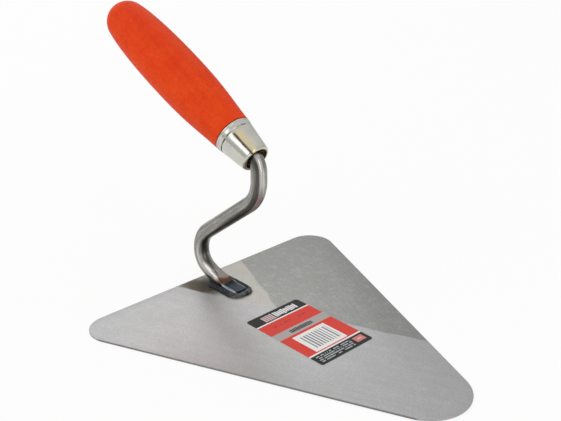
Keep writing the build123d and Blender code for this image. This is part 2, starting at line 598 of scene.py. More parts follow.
@dataclass(frozen=True)
class RodSteelFinish:
    """Neck: drawn rod, with a painted dark reflection along one side, brown by the weld and blue-black on
    the foot.
    """

    bright: Colour = (0.40, 0.395, 0.37)
    dull: Colour = (0.15, 0.146, 0.128)
    # Colour of the painted highlight on the uprights, also used for lighter drawing streaks.
    highlight_and_polish: Colour = (0.74, 0.73, 0.68)
    # Colour of the painted dark reflection band along one side of the rod.
    scale: Colour = (0.045, 0.042, 0.035)
    pink: Colour = (0.40, 0.31, 0.27)
    brown: Colour = (0.10, 0.045, 0.022)
    blue: Colour = (0.010, 0.013, 0.020)
    steel_blue: Colour = (0.030, 0.040, 0.055)
    # Painted highlight along the foot's edges.
    edge_highlight_blue: Colour = (0.40, 0.46, 0.52)
    roughness: Pair = (0.23, 0.42)
    drawing: Triple = (0.045, 1.6, 1.6)
    soiling: Triple = (0.035, 0.45, 0.45)
    film_cells: Pair = (9.0, 0.8)
    relief: float = 0.05
    # Where the painted dark reflection band lies round the rod.
    dark_reflection_mark: RodMark = RodMark((30.0, 115.0), (74.0, 33.0), (0.83, 0.985), 0.72)
    # Where the painted highlight lies round the rod.
    highlight_mark: RodMark = RodMark((45.0, 105.0), (30.0, 70.0), (0.91, 0.99), 0.66)
    ragged: float = 0.08
    dark_reflection_start: Pair = (14.0, 26.0)
    # Stretches of the two uprights that get the painted highlight.
    low_upright: Pair = (54.0, 34.0)
    high_upright: Pair = (96.0, 108.0)
    heat_wobble: float = 5.0
    heat_turn: Pair = (5.5, 9.5)
    heat_end: Pair = (6.5, 12.0)
    heat_share: float = 0.95
    forged_end: Pair = (2.2, 3.8)
    edge_highlight_reach: Pair = (3.5, 4.4)
    coats: tuple[Coat, ...] = (
        Coat("patches", dull, 0.75, 0.38, 0.66),
        Coat("speckle", dull, 0.66, 0.36, 0.8),
        Coat("soil", dull, 0.62, 0.46, 0.64),
        Coat("soil", highlight_and_polish, 0.30, 0.46, 0.34),
        # Painted dark reflection band, then painted highlight on the uprights.
        Coat("scaled", scale),
        Coat("rubbed", highlight_and_polish),
    )

    def material(self, neck: "Neck") -> Material:
        """Build the material for a neck.

        Args:
            neck: Neck whose foot sets where the heat tint lies.

        Returns:
            The material.
        """
        surface = Surface("rod_steel", Metallic=1.0)
        section = surface.section()
        along, side, lift = surface.axes(section)
        lines, patches = surface.streaks(section, self.drawing)
        film, speckle = surface.mottle(surface.place(), *self.film_cells)
        from_foot = surface.math("SUBTRACT", neck.foot_along(), along)
        ragged = surface.spread(lines, *NOISE_SPAN, -self.ragged, self.ragged)
        # Masks of the painted dark reflection band and of the painted highlight.
        scaled, rubbed = (mark.mask(surface, from_foot, (side, lift), neck.line.rod_radius, ragged)
                          for mark in (self.dark_reflection_mark, self.highlight_mark))
        uprights = surface.math("MAXIMUM", surface.spread(from_foot, *self.low_upright),
                                surface.spread(from_foot, *self.high_upright))
        colour = surface.lay(self.bright, self.coats, patches=patches, speckle=speckle,
                             soil=surface.streaks(section, self.soiling)[0],
                             scaled=surface.product(scaled, surface.spread(from_foot, *self.dark_reflection_start)),
                             rubbed=surface.product(rubbed, uprights))
        colour = self.heat(surface, colour, from_foot, side, film, speckle)
        roughness = surface.spread(lines, *NOISE_SPAN, *self.roughness)
        return surface.finish(colour, roughness, lines, self.relief)

    def heat(self, surface: Surface, colour: Socket, from_foot: Socket, side: Socket, film: Socket,
             speckle: Socket) -> Socket:
        """Tint the rod brown and pink by the weld, and the foot blue-black with a painted highlight along
        its edges.

        Args:
            surface: Material that gets the nodes.
            colour: Colour before the heat.
            from_foot: Distance from the foot.
            side: Distance to the left of the rod's middle.
            film: Soft patches, which shift the tints' ends.
            speckle: Fine speckle, which breaks up the painted edge highlight.

        Returns:
            The colour's socket.
        """
        wobble = surface.product(surface.math("SUBTRACT", film, 0.5), self.heat_wobble)
        reach = surface.total(from_foot, wobble)
        tinted = surface.blend(surface.spread(reach, *self.heat_turn, smooth=True), self.brown, self.pink)
        heated = surface.spread(reach, *self.heat_end, self.heat_share, 0.0, smooth=True)
        colour = surface.blend(heated, colour, tinted)
        forged = surface.blend(surface.spread(film, 0.35, 0.9, 0.0, 0.8), self.blue, self.steel_blue)
        # Painted highlight along the foot's edges, broken up by speckle.
        wear_and_edge_highlight = surface.product(surface.spread(surface.math("ABSOLUTE", side), *self.edge_highlight_reach),
                               surface.spread(speckle, 0.2, 0.7, 0.3, 0.9))
        forged = surface.blend(wear_and_edge_highlight, forged, self.edge_highlight_blue)
        return surface.blend(surface.spread(reach, *self.forged_end, 1.0, 0.0, smooth=True), colour, forged)


@dataclass(frozen=True)
class WeldFinish:
    """Weld bead: glassy blue-black oxide, with greyer scale towards the toe."""

    black: Colour = (0.004, 0.005, 0.006)
    blue: Colour = (0.016, 0.022, 0.030)
    grey: Colour = (0.12, 0.12, 0.115)
    rust: Colour = (0.09, 0.05, 0.03)
    glint: Colour = (0.34, 0.38, 0.40)
    cells: Pair = (2.6, 0.35)
    toe_fade: Pair = (9.0, 1.0)
    toe_roughness: float = 0.22
    roughness: Pair = (0.14, 0.32)
    relief: float = 0.05
    coats: tuple[Coat, ...] = (
        Coat("patches", blue),
        Coat("toe", grey),
        Coat("speckle", rust, 0.5, 0.72, 1.0),
        Coat("speckle", glint, 0.6, 0.26, 0.12),
    )

    def material(self, bead: "WeldBead") -> Material:
        """Build the material for a bead.

        Args:
            bead: Bead whose toe turns grey.

        Returns:
            The material.
        """
        surface = Surface("weld_oxide", Metallic=0.1, Specular_IOR_Level=0.24)
        place = surface.place()
        patches, speckle = surface.mottle(place, *self.cells)
        fade = (bead.high.x - distance for distance in self.toe_fade)
        toe = surface.spread(surface.axes(place)[0], *fade, smooth=True)
        toe = surface.product(toe, surface.spread(patches, 0.1, 0.75))
        colour = surface.lay(self.black, self.coats, patches=patches, toe=toe, speckle=speckle)
        rougher_toe = surface.product(toe, self.toe_roughness)
        roughness = surface.total(surface.spread(speckle, 0.0, 1.0, *self.roughness), rougher_toe)
        return surface.finish(colour, roughness, speckle, self.relief)


@dataclass(frozen=True)
class Band:
    """Painted reflection band on the ferrule: its tint, its edges and peak in degrees round the axis, its
    share.
    """

    tint: Colour
    start: float
    peak: float
    end: float
    share: float


@dataclass(frozen=True)
class PlateFinish:
    """Ferrule: bright plate over a drawn cone, with painted reflections, spinning marks and dark patches by
    the groove.
    """

    bright: Colour = (0.66, 0.65, 0.59)
    haze: Colour = (0.50, 0.50, 0.45)
    # Painted warm reflection band along the cone.
    gold_reflection: Colour = (0.80, 0.67, 0.40)
    # Dark tint of the painted dark reflection stripe beside the gold, also used for the patches by the
    # groove.
    umber: Colour = (0.045, 0.033, 0.013)
    highlight_and_polish: Colour = (0.94, 0.92, 0.86)
    # Painted light on the inner lip and the inside of the mouth.
    painted_lip_light: Colour = (0.72, 0.56, 0.38)
    roughness: Pair = (0.16, 0.29)
    spinning: Triple = (3.5, 0.05, 0.05)
    drawing: Triple = (0.05, 1.1, 1.1)
    film_cells: Pair = (7.0, 0.7)
    cone_start: Pair = (0.8, 2.6)
    grime_reach: Pair = (0.6, 0.25)
    lip_light_start: Pair = (1.0, 0.3)
    lip_light_reach: float = 0.5
    relief: float = 0.012
    under_coats: tuple[Coat, ...] = (Coat("film", haze, 0.5), Coat("drawn", haze, 0.5, 0.42, 0.68))
    # Painted reflection bands round the axis: gold, a dark umber stripe and a bright painted highlight.
    bands: tuple[Band, ...] = (
        Band(gold_reflection, 4.0, 35.0, 42.0, 0.95),
        Band(umber, 34.0, 42.5, 50.0, 1.0),
        Band(highlight_and_polish, 48.0, 53.0, 62.0, 0.90),
    )
    over_coats: tuple[Coat, ...] = (
        Coat("spun", haze, 0.25, 0.5, 0.72),
        # Darker patches along the groove.
        Coat("grime", umber, 0.85),
        # Painted light inside the mouth.
        Coat("inside", painted_lip_light, 0.85),
    )

    def material(self, ferrule: "Ferrule") -> Material:
        """Build the material for a ferrule.

        Args:
            ferrule: Ferrule whose taper the drawing marks follow.

        Returns:
            The material.
        """
        surface = Surface("ferrule_plate", Metallic=1.0)
        section = surface.section()
        station, side, lift = surface.axes(section)
        spun = surface.streaks(section, self.spinning)[0]
        drawn, drawn_patches = surface.streaks(section, self.drawing)
        film = surface.mottle(surface.place(), *self.film_cells)[0]
        colour = surface.lay(self.bright, self.under_coats, film=film, drawn=drawn)
        past_groove = surface.math("SUBTRACT", station, ferrule.groove_at)
        cone = surface.spread(past_groove, *self.cone_start, smooth=True)
        turn = surface.math("DEGREES", surface.math("ARCTAN2", surface.product(side, -1.0), lift))
        turn = surface.total(turn, surface.spread(drawn, *NOISE_SPAN, -2.0, 2.0))
        # Lay the painted reflection bands by their angle round the axis.
        for band in self.bands:
            rising = surface.spread(turn, band.start, band.peak, 0.0, band.share, smooth=True)
            falling = surface.spread(turn, band.peak, band.end, 1.0, 0.0, smooth=True)
            colour = surface.blend(surface.product(rising, falling, cone), colour, band.tint)
        # Mask of darker patches along the groove.
        grime = surface.product(surface.spread(surface.math("ABSOLUTE", past_groove), *self.grime_reach),
                                surface.spread(drawn_patches, 0.42, 0.56))
        # Mask of the painted light inside the mouth.
        to_mouth = surface.math("SUBTRACT", ferrule.line.ferrule_length, station)
        radius = surface.vector("LENGTH", surface.join(side, lift))
        out = surface.math("SUBTRACT", radius, ferrule.mouth_radius)
        inside = surface.product(surface.spread(to_mouth, *self.lip_light_start),
                                 surface.spread(out, self.lip_light_reach, 0.0))
        colour = surface.lay(colour, self.over_coats, spun=spun, grime=grime, inside=inside)
        roughness = surface.total(surface.spread(film, 0.0, 1.0, *self.roughness),
                                  surface.spread(spun, *NOISE_SPAN, 0.0, 0.06))
        return surface.finish(colour, roughness, spun, self.relief)


@dataclass(frozen=True)
class PaintedWoodFinish:
    """Handle: satin orange-red paint, thin enough to show the wood's pores and turning lines."""

    paint: Colour = (0.775, 0.050, 0.007)
    deep: Colour = (0.61, 0.031, 0.0055)
    orange: Colour = (0.85, 0.084, 0.012)
    # Lighter orange streaks worn along the grain.
    wear_and_edge_highlight: Colour = (0.82, 0.16, 0.075)
    bare_wood: Colour = (0.46, 0.29, 0.15)
    joint_shade: Colour = (0.022, 0.005, 0.003)
    roughness: Pair = (0.43, 0.58)
    wood_grain: Triple = (0.03, 0.6, 0.6)
    turning: Triple = (1.4, 0.02, 0.02)
    cells: Pair = (13.0, 1.6)
    grain_depth: float = 0.65
    relief: float = 0.06
    coats: tuple[Coat, ...] = (
        Coat("patches", orange, 0.8),
        Coat("figure", deep, 0.35, 0.42, 0.66),
        Coat("grain", wear_and_edge_highlight, 0.30, 0.60, 0.72),
        Coat("speckle", deep, 0.34, 0.45, 1.0),
        Coat("speckle", orange, 0.30, 0.45, 0.0),
        Coat("joint", joint_shade),
        Coat("station", bare_wood, 1.0, 0.0, 0.3),
    )

    def material(self, handle: "Handle") -> Material:
        """Build the material for a handle.

        Args:
            handle: Handle whose paint stops at the ferrule's rim.

        Returns:
            The material.
        """
        surface = Surface("handle_paint", Metallic=0.0, Specular_IOR_Level=0.06)
        section = surface.section()
        station = surface.axes(section)[0]
        grain, figure = surface.streaks(section, self.wood_grain)
        turned = surface.streaks(section, self.turning)[0]
        patches, speckle = surface.mottle(surface.place(), *self.cells)
        joint = surface.spread(station, -handle.joint_shade, -handle.joint_shade / 3)
        colour = surface.lay(self.paint, self.coats, patches=patches, figure=figure, grain=grain,
                             speckle=speckle, joint=joint, station=station)
        roughness = surface.spread(speckle, 0.0, 1.0, *self.roughness)
        height = surface.total(surface.product(grain, self.grain_depth),
                               surface.product(turned, 1.0 - self.grain_depth))
        return surface.finish(colour, roughness, height, self.relief)


class Ink(Enum):
    """Inks of the sticker."""

    WHITE = (0.80, 0.79, 0.77)
    BLACK = (0.014, 0.018, 0.018)
    RED = (0.66, 0.048, 0.032)
    SILVER = (0.40, 0.37, 0.355)
    PALE = (0.62, 0.46, 0.46)
    GREY = (0.20, 0.22, 0.23)
    ROSE = (0.62, 0.20, 0.18)
    NEWSPRINT = (0.50, 0.52, 0.53)
    DARK_RED = (0.42, 0.035, 0.025)


@dataclass(frozen=True)
class Block:
    """Printed rectangle, in millimetres from the sticker's rear right corner."""

    ink: Ink
    x: Pair
    y: Pair

    def mask(self, surface: Surface, x: Socket, y: Socket) -> Socket:
        """Mask of the rectangle.

        Args:
            surface: Material that gets the nodes.
            x: Distance along the sticker.
            y: Distance across the sticker.

        Returns:
            The mask's socket.
        """
        sides = []
        for value, (low, high) in ((x, self.x), (y, self.y)):
            off = surface.math("ABSOLUTE", surface.math("SUBTRACT", value, (low + high) / 2))
            half = (high - low) / 2
            sides.append(surface.spread(off, half - INK_FADE, half + INK_FADE, 1.0, 0.0))
        return surface.product(*sides)


@dataclass(frozen=True)
class Dashes(Block):
    """Printed rows of broken bars, which stand for small print and spell nothing."""

    rows: int = 1
    mark: float = 1.0
    fill: float = 0.5
    height: float = 0.36
    thinnest: float = 0.75
    gap: float = 0.26
    seed: float = 0.0

    def mask(self, surface: Surface, x: Socket, y: Socket) -> Socket:
        """Mask of the rows.

        Args:
            surface: Material that gets the nodes.
            x: Distance along the sticker.
            y: Distance across the sticker.

        Returns:
            The mask's socket.
        """
        low, high = self.x
        row = surface.math("DIVIDE", surface.math("SUBTRACT", x, low), (high - low) / self.rows)
        in_row = surface.math("ABSOLUTE", surface.math("SUBTRACT", surface.math("FRACT", row), 0.5))
        place = surface.math("DIVIDE", y, self.mark)
        cell = surface.join(surface.math("FLOOR", place), surface.math("FLOOR", row), self.seed)
        chance = surface.chance("3D", Vector=cell)
        printed = surface.math("LESS_THAN", chance, self.fill)
        apart = surface.math("GREATER_THAN", surface.math("FRACT", place), self.gap)
        reach = surface.spread(chance, 0.0, self.fill, self.thinnest * self.height, self.height)
        tall = surface.math("LESS_THAN", in_row, reach)
        return surface.product(printed, apart, tall, super().mask(surface, x, y))


@dataclass(frozen=True)
class Bars(Block):
    """Plain bars of uneven width, which hold no code."""

    pitch: float = 2.15
    widths: Pair = (0.26, 0.58)

    def mask(self, surface: Surface, x: Socket, y: Socket) -> Socket:
        """Mask of the bars.

        Args:
            surface: Material that gets the nodes.
            x: Distance along the sticker.
            y: Distance across the sticker.

        Returns:
            The mask's socket.
        """
        row = surface.math("DIVIDE", y, self.pitch)
        width = surface.spread(surface.chance("1D", W=surface.math("FLOOR", row)), 0.0, 1.0, *self.widths)
        printed = surface.math("LESS_THAN", surface.math("FRACT", row), width)
        return surface.product(printed, super().mask(surface, x, y))


@dataclass(frozen=True)
class PrintFinish:
    """Sticker: coated paper with flat printed blocks."""

    # Rubbed wear on the paper.
    rubbed: Colour = (0.55, 0.50, 0.48)
    rubbed_share: float = 0.05
    cells: Pair = (6.0, 0.5)
    roughness: Pair = (0.49, 0.63)
    relief: float = 0.01
    prints: tuple[Block, ...] = (
        Block(Ink.BLACK, (0.0, 9.1), (0.0, 41.0)),
        Block(Ink.RED, (10.2, 21.7), (0.0, 41.0)),
        Block(Ink.SILVER, (21.7, 28.4), (0.0, 41.0)),
        Block(Ink.RED, (28.4, 50.8), (0.0, 41.0)),
        Block(Ink.WHITE, (30.5, 49.9), (7.4, 32.2)),
        Block(Ink.BLACK, (52.0, 61.5), (0.0, 41.0)),
        Block(Ink.ROSE, (53.6, 58.6), (31.4, 38.6)),
        Dashes(Ink.PALE, (1.6, 8.8), (8.6, 17.4), mark=1.7, fill=0.99, height=0.46, seed=0.0),
        Dashes(Ink.WHITE, (2.0, 8.0), (18.0, 35.5), mark=1.6, fill=1.0, height=0.46, seed=1.0),
        Dashes(Ink.DARK_RED, (13.6, 16.8), (6.0, 35.0), mark=1.0, fill=0.46, seed=2.0),
        Dashes(Ink.BLACK, (22.9, 27.1), (11.5, 29.0), mark=1.35, fill=0.90, height=0.42, seed=3.0),
        Dashes(Ink.NEWSPRINT, (53.0, 59.8), (2.5, 29.5), 4, mark=0.85, fill=0.82, height=0.30, seed=4.0),
        Dashes(Ink.WHITE, (55.6, 56.6), (33.6, 36.8), mark=0.6, fill=0.60, seed=5.0),
        Bars(Ink.GREY, (33.2, 47.2), (9.4, 30.4)),
    )

    def material(self, low: Vector) -> Material:
        """Build the material.

        Args:
            low: The sticker's rear right corner, in millimetres.

        Returns:
            The material.
        """
        surface = Surface("label_print", Metallic=0.0, Specular_IOR_Level=0.12)
        place = surface.place()
        x, y, _ = surface.axes(surface.vector("SUBTRACT", place, tuple(low)))
        colour = Ink.WHITE.value
        for block in self.prints:
            colour = surface.blend(block.mask(surface, x, y), colour, block.ink.value)
        patches, speckle = surface.mottle(place, *self.cells)
        colour = surface.blend(surface.product(speckle, self.rubbed_share), colour, self.rubbed)
        roughness = surface.spread(patches, 0.0, 1.0, *self.roughness)
        return surface.finish(colour, roughness, speckle, self.relief)


# ---------------------------------------------------------------- pieces


class Side(Enum):
    """Side of the blade's centreline, as the sign of Y."""

    LEFT = 1
    RIGHT = -1


@dataclass
class Piece:
    """A visible piece that stands for one CAD node."""

    node: str
    slot: str

    def __post_init__(self) -> None:
        """Read the node's place from the frame."""
        self.low, self.high = box_mm(self.node)

    def settle(self, shape: Object, material: Material) -> Object:
        """Dress a shape and tie it to the frame.

        Args:
            shape: The piece's object.
            material: Its finish.

        Returns:
            The same object.
        """
        shape.data.materials.clear()
        shape.data.materials.append(material)
        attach(shape, BODY)
        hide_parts(self.node)
        return shape


@dataclass
class Blade(Piece):
    """Flat triangular sheet with three rounded corners."""

    node: str = "blade"
    slot: str = "blade_steel"
    heel_corner_radius: float = 15.3
    tip_radius: float = 25.2
    corner_steps: int = 40
    edge_rounding: float = 0.28
    right_band: float = 72.0
    left_band: float = 66.0
    band_fade: Pair = (1.4, 2.6)
    band_wobble: float = 4.0
    scorch_centre: Pair = (-90.0, -13.5)
    scorch_stretch: Triple = (0.62, 0.85, 0.0)
    scorch_reach: Pair = (6.5, 17.5)
    scorch_wobble: float = 7.0
    scorch_share: float = 0.97
    scorch_left_on_ground_band: float = 0.12
    edge_shade: float = 0.36

    def corner_centres(self) -> list[Triple]:
        """Centre and radius of each corner disc, anticlockwise from the right heel."""
        heel_x = self.low.x + self.heel_corner_radius
        heel_y = self.high.y - self.heel_corner_radius
        return [
            (heel_x, -heel_y, self.heel_corner_radius),
            (self.high.x - self.tip_radius, 0.0, self.tip_radius),
            (heel_x, heel_y, self.heel_corner_radius),
        ]

    def edge_angle(self) -> float:
        """Angle between the centreline and a long edge, in radians."""
        right, tip, _ = self.corner_centres()
        run, rise = tip[0] - right[0], tip[1] - right[1]
        return math.atan2(rise, run) + math.asin((right[2] - tip[2]) / math.hypot(run, rise))

    def rim(self) -> list[tuple[Vector, Vector]]:
        """Plan outline of the blade, anticlockwise.

        Returns:
            Points on the three corner arcs, each with its outward direction. Straight edges join the arcs.
        """
        square = math.pi / 2
        turns = (-math.pi, self.edge_angle() - square, square - self.edge_angle(), math.pi)
        points = []
        for (x, y, radius), start, end in zip(self.corner_centres(), turns, turns[1:]):
            for step in range(self.corner_steps + 1):
                angle = lerp(start, end, step / self.corner_steps)
                outwards = Vector((math.cos(angle), math.sin(angle), 0.0))
                points.append((Vector((x, y, 0.0)) + outwards * radius, outwards))
        return points

    def edge_reach(self) -> float:
        """Distance from the origin to a long edge."""
        slope = self.edge_angle()
        heel_x, heel_y, radius = self.corner_centres()[0]
        return heel_x * math.sin(slope) + abs(heel_y) * math.cos(slope) + radius

    def ground_mask(self, surface: Surface, x: Socket, y: Socket, side: Side) -> Socket:
        """Mask of the band ground along one long edge.

        Args:
            surface: Material that gets the nodes.
            x: Place along the blade, in millimetres.
            y: Place across the blade, in millimetres.
            side: Long edge that the band follows.

        Returns:
            The mask's socket.
        """
        slope = self.edge_angle()
        start = self.edge_reach() - (self.right_band if side is Side.RIGHT else self.left_band)
        reach = surface.total(surface.product(x, math.sin(slope)),
                              surface.product(y, side.value * math.cos(slope)))
        wobble = surface.product(surface.noise(surface.join(x, y), 0.05, 2.0), self.band_wobble)
        fade = (start + offset for offset in self.band_fade)
        return surface.spread(surface.total(reach, wobble), *fade, smooth=True)

    def scorch_mask(self, surface: Surface, place: Socket, near: Socket) -> Socket:
        """Mask of the brown stain that the weld's heat left beside the foot.

        Args:
            surface: Material that gets the nodes.
            place: Coordinates, in millimetres.
            near: Mask of the band that was ground after welding, which cuts the stain off.

        Returns:
            The mask's socket.
        """
        off = surface.vector("SUBTRACT", place, (*self.scorch_centre, self.high.z))
        reach = surface.vector("LENGTH", surface.vector("MULTIPLY", off, self.scorch_stretch))
        ragged = surface.product(surface.noise(place, 0.16, 3.0), self.scorch_wobble)
        reach = surface.total(reach, ragged)
        stain = surface.spread(reach, *self.scorch_reach, self.scorch_share, 0.0, smooth=True)
        return surface.product(stain, surface.spread(near, 0.0, 1.0, 1.0, self.scorch_left_on_ground_band))

    def edge_shade_mask(self, surface: Surface, x: Socket, y: Socket) -> Socket:
        """Mask of the painted edge shade: the last part of a millimetre along all three sides.

        Args:
            surface: Material that gets the nodes.
            x: Place along the blade, in millimetres.
            y: Place across the blade, in millimetres.

        Returns:
            The mask's socket.
        """
        slope = self.edge_angle()
        across = surface.product(surface.math("ABSOLUTE", y), math.cos(slope))
        side = surface.total(surface.product(x, math.sin(slope)), across)
        edge = self.edge_reach()
        side = surface.spread(side, edge - self.edge_shade, edge - self.edge_shade / 2)
        rear = surface.spread(x, self.low.x + self.edge_shade, self.low.x + self.edge_shade / 2)
        return surface.math("MAXIMUM", side, rear)

    def build(self) -> Object:
        """Make the sheet, with its cut edges slightly rounded."""
        turns = [math.radians(30 * step) for step in range(4)]
        corner = [(1 - math.sin(turn), 1 - math.cos(turn)) for turn in turns]
        lower = [(inset, self.low.z + rise * self.edge_rounding) for inset, rise in corner]
        upper = [(inset, self.high.z - rise * self.edge_rounding) for inset, rise in reversed(corner)]
        rings = []
        for inset, z in lower + upper:
            inwards = -inset * self.edge_rounding
            rings.append([point + outwards * inwards + UP * z for point, outwards in self.rim()])
        shape = mesh_object("trowel_blade", *skin_rings(rings))
        sharpen(shape, 40.0)
        return self.settle(shape, SheetSteelFinish().material(self))


@dataclass(frozen=True)
class Centreline:
    """Rod's centreline, in the plane y = 0, and the handle's axis, which it runs into."""

    rod_radius: float = 4.8
    foot_slope: float = math.radians(25.0)
    foot_corner_rise: float = 9.6
    overhang: float = 3.1
    reach: float = 53.3
    run_slope: float = math.radians(37.7)
    handle_slope: float = math.radians(26.3)
    heel_bend: float = 12.0
    low_straight: float = 0.4
    knee_bend: float = 18.5
    shoulder_bend: float = 22.0
    high_straight: float = 4.7
    top_bend: float = 11.0
    mouth_setback: float = 2.2
    ferrule_length: float = 21.6
    tang_depth: float = 75.0

    @staticmethod
    def tangent(radius: float, slope: float) -> float:
        """Length that a bend takes from each leg, between an upright and a leg of this slope."""
        return radius * math.tan((math.pi / 2 - slope) / 2)

    def corners(self) -> list[Vector]:
        """Corners of the centreline before bending, from the tang's end to the end of the heel bend."""
        low, high = box_mm("blade")
        low_x = low.x - self.overhang
        high_x = low_x + self.reach
        foot_z = high.z + self.foot_corner_rise
        heel = self.tangent(self.heel_bend, self.foot_slope)
        knee_z = foot_z + heel + self.low_straight + self.tangent(self.knee_bend, self.run_slope)
        shoulder_z = knee_z + self.reach * math.tan(self.run_slope)
        top_z = (shoulder_z + self.tangent(self.shoulder_bend, self.run_slope) + self.high_straight
                 + self.tangent(self.top_bend, self.handle_slope))
        top = Vector((high_x, 0.0, top_z))
        setback = self.mouth_setback + self.ferrule_length + self.tang_depth
        run = Vector((math.cos(self.foot_slope), 0.0, -math.sin(self.foot_slope)))
        foot = Vector((low_x, 0.0, foot_z))
        return [top - self.towards_mouth() * setback, top, Vector((high_x, 0.0, shoulder_z)),
                Vector((low_x, 0.0, knee_z)), foot, foot + run * heel]

    def towards_mouth(self) -> Vector:
        """Direction of the handle's axis, from the butt to the ferrule's mouth."""
        return Vector((math.cos(self.handle_slope), 0.0, -math.sin(self.handle_slope)))

    def rim(self) -> Vector:
        """Centre of the ferrule's rim."""
        return self.corners()[1] - self.towards_mouth() * (self.mouth_setback + self.ferrule_length)

    def path(self, step: float) -> list[tuple[Vector, Vector]]:
        """Points along the centreline, with the direction at each.

        Args:
            step: Greatest distance between points.

        Returns:
            Pairs of a point and a unit direction, from the tang's end on.
        """
        corners = self.corners()
        radii = (self.top_bend, self.shoulder_bend, self.knee_bend, self.heel_bend)
        here = corners[0]
        made = []
        for radius, before, corner, after in zip(radii, corners, corners[1:], corners[2:]):
            ahead = (corner - before).normalized()
            onward = (after - corner).normalized()
            turn = ahead.angle(onward)
            aside = (onward - ahead * math.cos(turn)) / math.sin(turn)
            start = corner - ahead * (radius * math.tan(turn / 2))
            count = max(1, math.ceil((start - here).length / step))
            made += [(here.lerp(start, i / count), ahead) for i in range(count)]
            count = math.ceil(radius * turn / step)
            for i in range(count + 1):
                angle = turn * i / count
                point = start + (ahead * math.sin(angle) + aside * (1 - math.cos(angle))) * radius
                made.append((point, ahead * math.cos(angle) + aside * math.sin(angle)))
            here = made.pop()[0]
        return [*made, (here, onward)]


@dataclass
class Neck(Piece):
    """Round rod with a double bend, a tang in the handle and a foot forged flat on the blade."""

    node: str = "neck"
    slot: str = "rod_steel"
    line: Centreline = Centreline()
    ring_step: float = 0.8
    segments: int = 56
    tang_chamfer: float = 1.5
    ear_from_end: float = 14.0
    ear_length: float = 12.0
    ear_half_width: float = 6.3
    ear_half_height: float = 3.6
    upright_at: float = 8.0
    flat_at: float = 24.0
    foot_end: float = 34.6
    foot_half_width: float = 5.2
    foot_thickness: float = 2.3
    foot_corner_radius: float = 3.0
    foot_squareness: float = 6.0
    toe_drop: float = 0.7
    run_steps: int = 6
    corner_steps: int = 10

    def __post_init__(self) -> None:
        """Read the blade's rear edge and top from the frame."""
        low, high = box_mm("blade")
        self.rear_x = low.x
        self.blade_top = high.z
        self.rings: list[Ring] = []
        self.marks: list[Triple] = []

    def foot_along(self) -> float:
        """Length of the centreline from the tang's end to where the foot is flat."""
        path = self.line.path(self.ring_step)
        rod = sum((b[0] - a[0]).length for a, b in zip(path, path[1:]))
        heel_end = path[-1][0].x - self.rear_x
        return rod + (self.flat_at - heel_end) / math.cos(self.line.foot_slope)

    def add_ring(self, along: float, centre: Vector, up: Vector, shift: Vector, half_sizes: Pair,
                 power: float = 2.0) -> None:
        """Add a section of the rod.

        Args:
            along: Distance from the tang's end.
            centre: Centre of the section.
            up: Unit direction of the section's height.
            shift: Move of the section's highest point, which the other points share by their height.
            half_sizes: Half of the width and half of the height.
            power: Squareness of the section.
        """
        ring = []
        for j in range(self.segments):
            angle = 2 * math.pi * j / self.segments
            side, lift = superellipse(angle, *half_sizes, power)
            point = centre + ACROSS * side + up * lift + shift * (lift / half_sizes[1])
            point.z = max(point.z, self.blade_top)
            ring.append(point)
            self.marks.append((along, side, lift))
        self.rings.append(ring)

    def make_rod(self) -> tuple[float, Vector, Vector]:
        """Add the sections of the round rod.

        Returns:
            Length made so far, and the last point and direction.
        """
        path = self.line.path(self.ring_step)
        along = 0.0
        before = path[0][0]
        for point, ahead in path:
            along += (point - before).length
            before = point
            radius = self.line.rod_radius - max(0.0, self.tang_chamfer - along)
            middle = self.ear_from_end + self.ear_length / 2
            pinch = 1.0 - smoothstep(abs(along - middle), self.ear_length / 2 - 2.0, self.ear_length / 2)
            sizes = (lerp(radius, self.ear_half_width, pinch), lerp(radius, self.ear_half_height, pinch))
            self.add_ring(along, point, ahead.cross(ACROSS), Vector(), sizes)
        return along, point, ahead

    def make_foot(self, along: float, start: Vector, ahead: Vector) -> None:
        """Add the sections of the last run and of the forged foot.

        Args:
            along: Length of the rod before the run.
            start: Where the run starts.
            ahead: Direction of the run, down to the blade.
        """
        up = ahead.cross(ACROSS)
        radius = self.line.rod_radius
        run = (self.upright_at - start.x + self.rear_x) / ahead.x
        for i in range(1, self.run_steps + 1):
            share = i / self.run_steps
            centre = start + ahead * (share * run)
            upright = -up.x / ahead.x * radius * smoothstep(share, 0.0, 1.0)
            self.add_ring(along + share * run, centre, up, ahead * upright, (radius, radius))
        straight_end = self.foot_end - self.foot_corner_radius
        count = round((straight_end - self.upright_at) / self.ring_step)
        stations = [(lerp(self.upright_at, straight_end, i / count), 0.0) for i in range(1, count + 1)]
        for i in range(1, self.corner_steps + 1):
            turn = math.pi / 2 * i / self.corner_steps
            stations.append((straight_end + self.foot_corner_radius * math.sin(turn), turn))
        foot_top = self.blade_top + self.foot_thickness
        rod_middle = centre.z
        rod_top = rod_middle + radius / math.cos(self.line.foot_slope)
        for x, turn in stations:
            above = rod_top - (x - self.upright_at) * math.tan(self.line.foot_slope) - foot_top
            top = foot_top + (above + math.hypot(above, 1.0)) / 2
            top -= self.toe_drop * (1 - math.cos(turn)) ** 3
            flat = smoothstep(x, self.upright_at, self.flat_at)
            middle = lerp(rod_middle, self.blade_top, flat)
            half_width = lerp(radius, self.foot_half_width, flat)
            half_width -= self.foot_corner_radius * (1 - math.cos(turn))
            power = lerp(2.0, self.foot_squareness, smoothstep(x, self.upright_at + 4.0, self.flat_at))
            centre = Vector((self.rear_x + x, 0.0, middle))
            self.add_ring(along + run + (x - self.upright_at) / ahead.x, centre, UP, Vector(),
                          (half_width, top - middle), power)

    def build(self) -> Object:
        """Make the neck."""
        self.make_foot(*self.make_rod())
        shape = mesh_object("trowel_neck", *skin_rings(self.rings))
        add_section(shape, self.marks)
        sharpen(shape, 50.0)
        return self.settle(shape, RodSteelFinish().material(self))


